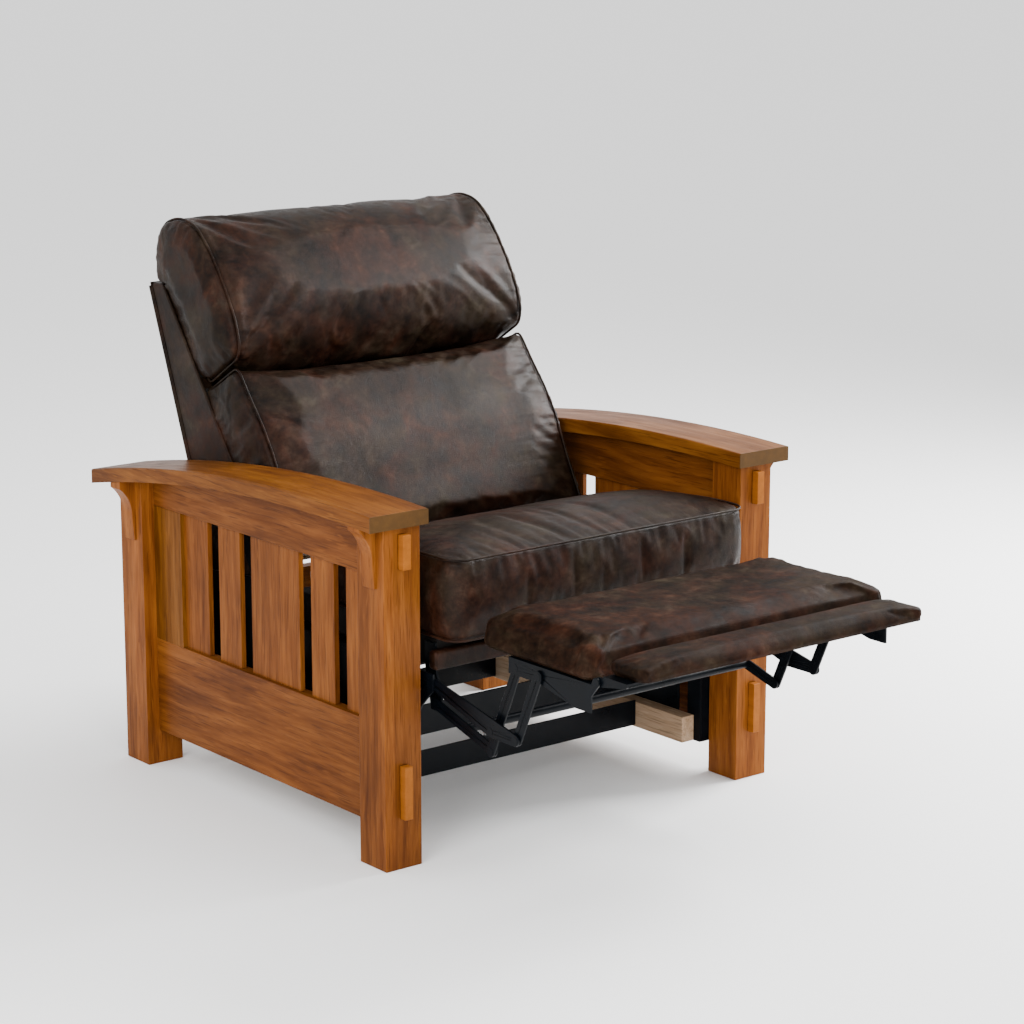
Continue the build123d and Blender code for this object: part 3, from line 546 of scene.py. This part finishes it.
def dressed(thing, seams, held, pull, seed, rumple=0.0012, reach=0.035):
    """Sinks the seams, adds pull wrinkles that run away from them and a slight unevenness."""
    change = thing.modifiers.new("finer", "SUBSURF")
    change.levels = change.render_levels = 1
    baked(thing)
    points, normals = coordinates(thing), vertex_normals(thing)
    tree, along = tree_of(seams)
    moved = points.copy()
    for index, point in enumerate(points):
        if held(point):
            continue
        _, spot, away = tree.find(point)
        lift = rumple * noise.noise(Vector(point) * RUMPLES + Vector((seed, 0, 0)))
        lift -= GROOVE_DEPTH * math.exp(-((away / GROOVE_WIDTH) ** 2))
        if away < FADE_REACHES * reach:
            run = along[spot]
            fold = sum(
                share * noise.noise(Vector((run * along_seam, away * outward, seed + shift)))
                for along_seam, outward, share, shift in FOLDS
            )
            patch = max(0.0, noise.noise(Vector((run * PATCHES, seed, 1.0))) + PATCH_LIFT)
            patch = PATCH_LEAST + PATCH_GAIN * patch
            lift += pull * patch * fold * math.exp(-away / reach) * (1 - math.exp(-away / WRINKLE_START))
        moved[index] = point + normals[index] * lift
    set_coordinates(thing, moved)


def cushion(
    name, body, replaced, loops, seams, finish, held, limit, cap, voxel=0.007, slack=-0.014, **wrinkles
):
    """A soft piece: swollen by cap at most, wrinkled, and kept where limit puts it."""
    thing = closed_form(name, loops)
    remeshed(thing, voxel)
    inflate(thing, seams, held, cap, slack)
    set_coordinates(thing, limit(coordinates(thing)))
    dressed(thing, seams, held, **wrinkles)
    set_coordinates(thing, limit(coordinates(thing)))
    smooth_shaded(thing)
    thing.data.materials.clear()
    thing.data.materials.append(finish)
    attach(thing, body)
    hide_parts(*replaced)


def welt(name, body, line, radius=WELT_RADIUS):
    """Thin leather piping along a line."""
    line = np.array(line)
    ahead = np.gradient(line, axis=0)
    ahead /= np.maximum(np.linalg.norm(ahead, axis=1, keepdims=True), NO_LENGTH)
    side = np.cross(ahead[0], OFF_AXIS)
    loops = []
    for point, way in zip(line, ahead):
        side = side - way * float(side @ way)
        side /= np.linalg.norm(side)
        up = np.cross(way, side)
        loops.append([
            point + radius * (math.cos(a) * side + math.sin(a) * up)
            for a in (2 * math.pi * k / WELT_SIDES for k in range(WELT_SIDES))
        ])
    made = closed_form(name, loops)
    smooth_shaded(made)
    made.data.materials.append(brown_leather)
    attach(made, body)


# ---- soft pieces: pads, built up from the bottom

LOWER_SEAM_LIFT = 0.003
PLAN_SHARES = (0.1, 0.35, 0.6, 0.8, 0.92, 0.98)  # loops of the flat bottom and of the crowned top
WALL_PLACES = (0.15, 0.35, 0.5, 0.65, 0.85)  # loops of the walls, from bottom to top
CROWN_POWER = 3


def plan_form(half_width, start, end, bottom, top, crown, radius, bulge):
    """Loops of a pad, and its top and bottom seam lines."""
    plan = rounded_plan(half_width, start, end, radius)
    middle = np.array((0.0, (start + end) / 2))
    outward = plan - middle
    outward = outward / np.linalg.norm(outward, axis=1, keepdims=True)

    def loop(share, height, swell=0.0):
        grown = middle + (plan - middle) * share + outward * swell
        return np.column_stack((grown, np.full(len(grown), height)))

    upper_seam, lower_seam = loop(1.0, top), loop(1.0, bottom + LOWER_SEAM_LIFT)
    loops = [loop(share, bottom) for share in PLAN_SHARES] + [lower_seam]
    for place in WALL_PLACES:
        loops.append(loop(1.0, bottom + place * (top - bottom), bulge * math.sin(math.pi * place)))
    loops.append(upper_seam)
    loops += [loop(share, top + crown * (1 - share ** CROWN_POWER)) for share in PLAN_SHARES[::-1]]
    return loops, looped(upper_seam), looped(lower_seam)


def near_bottom(bottom, reach):
    """Test for the points of a pad that are fixed because they lie near its bottom."""
    return lambda point: point[2] < bottom + reach


def box_limit(side, front, rear, bottom, top):
    """Keeps points in a box; front and rear are in millimetres behind the posts' fronts.

    top is a height, or a function that gives the height at each y.
    """
    def limit(points):
        out = points.copy()
        out[:, 0] = np.clip(out[:, 0], -side, side)
        out[:, 1] = np.clip(out[:, 1], behind(front), behind(rear))
        out[:, 2] = np.clip(out[:, 2], bottom, top(out[:, 1]) if callable(top) else top)
        return out

    return limit


# Seat cushion, whose top is arched and falls towards the rear
SEAT_BOTTOM, SEAT_FRONT_TOP, SEAT_REAR_DROP, SEAT_ARCH = 0.3946, 0.5370, 0.072, 0.024
SEAT_FRONT, SEAT_REAR = behind(-51), behind(386)
SEAT_SWELL = 0.020  # room above the top seam
SEAT_OPEN_DEPTH = 350  # in millimetres; behind it the back cushion covers the top seam


def seat_top_at(depth):
    """Height of the top seam at a distance from front to rear."""
    share = np.clip((depth - SEAT_FRONT) / (SEAT_REAR - SEAT_FRONT), 0.0, 1.0)
    return SEAT_FRONT_TOP - SEAT_REAR_DROP * share + 4 * SEAT_ARCH * share * (1 - share)


def fallen(points):
    """Lowers a level form so that its top follows the seat's fall."""
    out = np.array(points, float)
    share = (seat_top_at(out[:, 1]) - SEAT_BOTTOM) / (SEAT_FRONT_TOP - SEAT_BOTTOM)
    out[:, 2] = SEAT_BOTTOM + (out[:, 2] - SEAT_BOTTOM) * share
    return out


loops, top_seam, bottom_seam = plan_form(
    half_width=0.334, start=SEAT_FRONT, end=SEAT_REAR, bottom=SEAT_BOTTOM, top=SEAT_FRONT_TOP,
    crown=0.004, radius=0.030, bulge=0.004,
)
top_seam = fallen(top_seam)
cushion(
    "seat_cushion_cover", "frame", ["seat_cushion"], [fallen(loop) for loop in loops],
    [top_seam, bottom_seam], brown_leather, held=near_bottom(SEAT_BOTTOM, 0.002),
    limit=box_limit(
        side=0.3515, front=-62, rear=391, bottom=SEAT_BOTTOM - 0.0003,
        top=lambda depth: seat_top_at(depth) + SEAT_SWELL,
    ),
    cap=0.020, pull=0.0026, seed=2.0,
)
# The rear of the top seam has no piping, which leaves room for the back as it comes upright
rear_start = int(np.argmax(top_seam[:-1, 1]))
open_seam = np.roll(top_seam[:-1], -rear_start, axis=0)
open_seam = open_seam[open_seam[:, 1] < behind(SEAT_OPEN_DEPTH)]
welt("seat_top_welt", "frame", open_seam)
welt("seat_bottom_welt", "frame", bottom_seam)


# ---- soft pieces: back cushion and headrest, with one side view all the way across

# Front and rear of the back frame's sides: depths and heights in millimetres, and depth per height
HEEL_DEPTH, HEEL_HEIGHT, FRONT_LEAN = 484, 430, 0.735
FOOT_DEPTH, FOOT_HEIGHT, REAR_LEAN, REAR_PIPING_GAP = 675, 380, 0.38, 5
COVER_GAP = 0.0028  # between the covers and the front of the frame
COVER_FIXED = 0.012  # covers nearer to that front than this are fixed
PRESS_REACH, PRESS_FIRMNESS = 0.024, 1.6
CROSS_LOOPS = 28
DRAW_POWER = 6
# How far an end has closed: share of the side view, share of the tuck
END_STEPS = ((0.97, 0.5), (0.86, 0.85), (0.6, 0.97), (0.3, 1.0), (0.08, 1.0))


def end_form(profile, half_width, heart, draw, tuck):
    """Loops of a form with one side view across the chair, closed by drawn-in ends, and end seams.

    draw is the share by which the side view shrinks towards the heart at the seams.
    """
    profile = np.array(profile)
    heart = np.array(heart)

    def loop(x, share):
        flat = heart + (profile - heart) * share
        return np.column_stack((np.full(len(flat), x), flat))

    body = half_width - tuck
    places = np.linspace(-body, body, CROSS_LOOPS)
    inner = [loop(x, 1 - draw * (abs(x) / body) ** DRAW_POWER) for x in places]
    first = [loop(-body - tuck * reach, (1 - draw) * share) for share, reach in END_STEPS[::-1]]
    last = [loop(body + tuck * reach, (1 - draw) * share) for share, reach in END_STEPS]
    return first + inner + last, looped(loop(-body, 1 - draw)), looped(loop(body, 1 - draw))


def front_edge(height):
    """y of the front of the back frame, which leans, at a height."""
    return POST_FRONT + HEEL_DEPTH * MM + FRONT_LEAN * (height - HEEL_HEIGHT * MM)


def pressed(points):
    """Draws what lies close to the webbing back against it, as the covers are fixed there."""
    out = points.copy()
    gap = front_edge(out[:, 2]) - COVER_GAP - out[:, 1]
    weight = np.clip(PRESS_FIRMNESS * (1 - gap / PRESS_REACH), 0.0, 1.0)
    out[:, 1] = np.where(gap < PRESS_REACH, out[:, 1] + gap * weight, out[:, 1])
    return out


def on_back_frame(point):
    return point[1] > front_edge(point[2]) - COVER_FIXED


# Side view from the front edge at the bottom, along the underside, up the rear and down the front
BACK_PROFILE = (
    (411, 462), (487, 443), (495, 452), (695, 724), (604, 778), (596, 772), (562, 728),
    (521, 680), (490, 634), (468, 590), (455, 560), (434, 520), (413, 482), (407, 471),
)
BACK_HEART = side_points([(555, 610)])[0]
BACK_SIDE = 0.3495
BACK_FOREMOST = 398


def back_limit(points):
    out = points.copy()
    out[:, 0] = np.clip(out[:, 0], -BACK_SIDE, BACK_SIDE)
    out[:, 1] = np.minimum(out[:, 1], front_edge(out[:, 2]) - COVER_GAP)
    out[:, 1] = np.maximum(out[:, 1], behind(BACK_FOREMOST))
    return pressed(out)


loops, right_seam, left_seam = end_form(
    smoothed(side_points(BACK_PROFILE)), half_width=0.341, heart=BACK_HEART, draw=0.006, tuck=0.012
)
cushion(
    "back_cushion_cover", "back", ["back_cushion"], loops, [right_seam, left_seam], brown_leather,
    held=on_back_frame, limit=back_limit, cap=0.016, pull=0.0058, seed=5.0, reach=0.050,
)
welt("back_right_welt", "back", right_seam)
welt("back_left_welt", "back", left_seam)

# Side view of the headrest pillow, which lies over the top of the back frame, in the same order
PILLOW_PROFILE = (
    (598, 792), (695, 731), (826, 907), (866, 907), (869, 935), (867, 968), (857, 1003), (836, 1023),
    (808, 1032), (783, 1035), (752, 1031), (727, 1021), (690, 988), (657, 948), (629, 907),
    (606, 866), (596, 838), (592, 815),
)
PILLOW_HEART = side_points([(740, 920)])[0]
PILLOW_SIDE = 0.3505
PILLOW_TOP = 1.049
PILLOW_WELT_RADIUS = 0.0024
FRAME_TOP = 0.9052  # the pillow lies in front of the frame up to here
FIXED_TOP, FIXED_REAR = 0.9095, behind(868)  # the pillow is fixed below and in front of these


def pillow_held(point):
    return on_back_frame(point) and point[2] < FIXED_TOP and point[1] < FIXED_REAR


def pillow_limit(points):
    out = points.copy()
    out[:, 0] = np.clip(out[:, 0], -PILLOW_SIDE, PILLOW_SIDE)
    below = out[:, 2] < FRAME_TOP
    out[below, 1] = np.minimum(out[below, 1], front_edge(out[below, 2]) - COVER_GAP)
    out[below] = pressed(out[below])
    out[:, 2] = np.minimum(out[:, 2], PILLOW_TOP)
    return out


loops, right_seam, left_seam = end_form(
    smoothed(side_points(PILLOW_PROFILE)), half_width=0.346, heart=PILLOW_HEART, draw=0.02, tuck=0.018
)
cushion(
    "headrest_cover", "back", ["headrest_pillow"], loops, [right_seam, left_seam], brown_leather,
    held=pillow_held, limit=pillow_limit, cap=0.022, pull=0.0040, seed=9.0,
)
welt("headrest_right_welt", "back", right_seam, PILLOW_WELT_RADIUS)
welt("headrest_left_welt", "back", left_seam, PILLOW_WELT_RADIUS)

# Footrest pad, wrapped round its board
PAD_BOTTOM = 0.4085
loops, _, bottom_seam = plan_form(
    half_width=0.337, start=behind(-411), end=behind(-119), bottom=PAD_BOTTOM, top=0.4590,
    crown=0.008, radius=0.028, bulge=0.004,
)
cushion(
    "footrest_cover", "footrest", ["footrest_pad", "footrest_board"], loops, [bottom_seam],
    footrest_leather, held=near_bottom(PAD_BOTTOM, 0.002),
    limit=box_limit(side=0.3425, front=-417.5, rear=-112, bottom=PAD_BOTTOM, top=0.4760),
    cap=0.012, voxel=0.006, slack=0.0, pull=0.0008, seed=12.0, rumple=0.0010,
)

# Front flap, wrapped round its board
FLAP_BOTTOM = 0.4252
loops, _, bottom_seam = plan_form(
    half_width=0.317, start=behind(-513), end=behind(-427), bottom=FLAP_BOTTOM, top=0.4490,
    crown=0.003, radius=0.016, bulge=0.002,
)
cushion(
    "flap_cover", "flap", ["flap_pad", "flap_board"], loops, [bottom_seam],
    footrest_leather, held=near_bottom(FLAP_BOTTOM, 0.0015),
    limit=box_limit(side=0.3215, front=-519, rear=-421, bottom=FLAP_BOTTOM, top=0.4590),
    cap=0.007, voxel=0.0045, slack=0.0, pull=0.0005, seed=15.0, rumple=0.0006,
)

# Piping on the front and rear edges of the back frame's sides
PIPING_X = 0.3405
PIPING_RADIUS = 0.0034
PIPING_STEP = 12
FRONT_PIPING_START = (HEEL_DEPTH, 432)
FRONT_PIPING_HEIGHTS = range(440, 906, PIPING_STEP)
REAR_PIPING_HEIGHTS = range(382, 905, PIPING_STEP)
front_line = [FRONT_PIPING_START]
front_line += [(HEEL_DEPTH + FRONT_LEAN * (h - HEEL_HEIGHT), h) for h in FRONT_PIPING_HEIGHTS]
rear_line = [(FOOT_DEPTH + REAR_PIPING_GAP + REAR_LEAN * (h - FOOT_HEIGHT), h) for h in REAR_PIPING_HEIGHTS]
for side_name, side in (("right", -1), ("left", 1)):
    for place, line in (("front", front_line), ("rear", rear_line)):
        edge = [(side * PIPING_X, y, z) for y, z in side_points(line)]
        welt(f"{side_name}_{place}_piping", "back", edge, PIPING_RADIUS)


# ---- floor, light and camera

FLOOR_REACH = 40
floor_corners = [(sx * FLOOR_REACH, sy * FLOOR_REACH, 0) for sx, sy in ((-1, -1), (1, -1), (1, 1), (-1, 1))]
floor = mesh_object("floor", floor_corners, [(0, 1, 2, 3)])
pale, tree, shader = material("pale_floor")
feed(tree, shader, {"Base Color": (*grey(0.97), 1), "Roughness": 0.9})
floor.data.materials.append(pale)

world = bpy.data.worlds.new("studio")
world.use_nodes = True
feed(world.node_tree, world.node_tree.nodes["Background"], {"Color": (*grey(1.0), 1), "Strength": 1.5})
bpy.context.scene.world = world


def aimed(name, data, place, way):
    """Puts a light or the camera in the scene, looking along a direction."""
    made = bpy.data.objects.new(name, data)
    made.location = place
    made.rotation_euler = way.to_track_quat("-Z", "Y").to_euler()
    bpy.context.scene.collection.objects.link(made)
    return made


def softbox(name, place, target, size, power, colour=(1, 1, 1)):
    """Soft light from a rectangle of some width and height, with its power in watts."""
    light = bpy.data.lights.new(name, "AREA")
    light.shape = "RECTANGLE"
    light.size, light.size_y = size
    light.energy, light.color = power, colour
    aimed(name, light, place, Vector(target) - Vector(place))


softbox(
    "key", place=(-3.3, -1.5, 2.2), target=(0, 0, 0.5), size=(2.0, 1.8), power=105,
    colour=(1.0, 0.985, 0.96),
)
softbox("side", place=(3.0, -0.3, 2.0), target=(0, 0.2, 0.75), size=(1.6, 1.5), power=320)
softbox("over", place=(1.5, -1.5, 2.9), target=(0, 0.2, 0.7), size=(2.0, 1.4), power=35)
softbox("front", place=(-1.5, -3.6, 1.2), target=(0.2, 0, 0.45), size=(1.2, 1.2), power=50)

CAMERA_PLACE = (-3.17733, -3.95303, 1.69116)
YAW, PITCH = 0.6738, 0.22416  # radians to the chair's left, and down
FOCAL_PIXELS, PICTURE_WIDTH = 2886.15, 1024.0
SENSOR_WIDTH = 36.0
camera_data = bpy.data.cameras.new("camera")
camera_data.sensor_width = SENSOR_WIDTH
camera_data.sensor_fit = "HORIZONTAL"
camera_data.lens = FOCAL_PIXELS * SENSOR_WIDTH / PICTURE_WIDTH
camera_data.clip_end = 100.0
way = Vector((math.sin(YAW) * math.cos(PITCH), math.cos(YAW) * math.cos(PITCH), -math.sin(PITCH)))
bpy.context.scene.camera = aimed("camera", camera_data, CAMERA_PLACE, way)
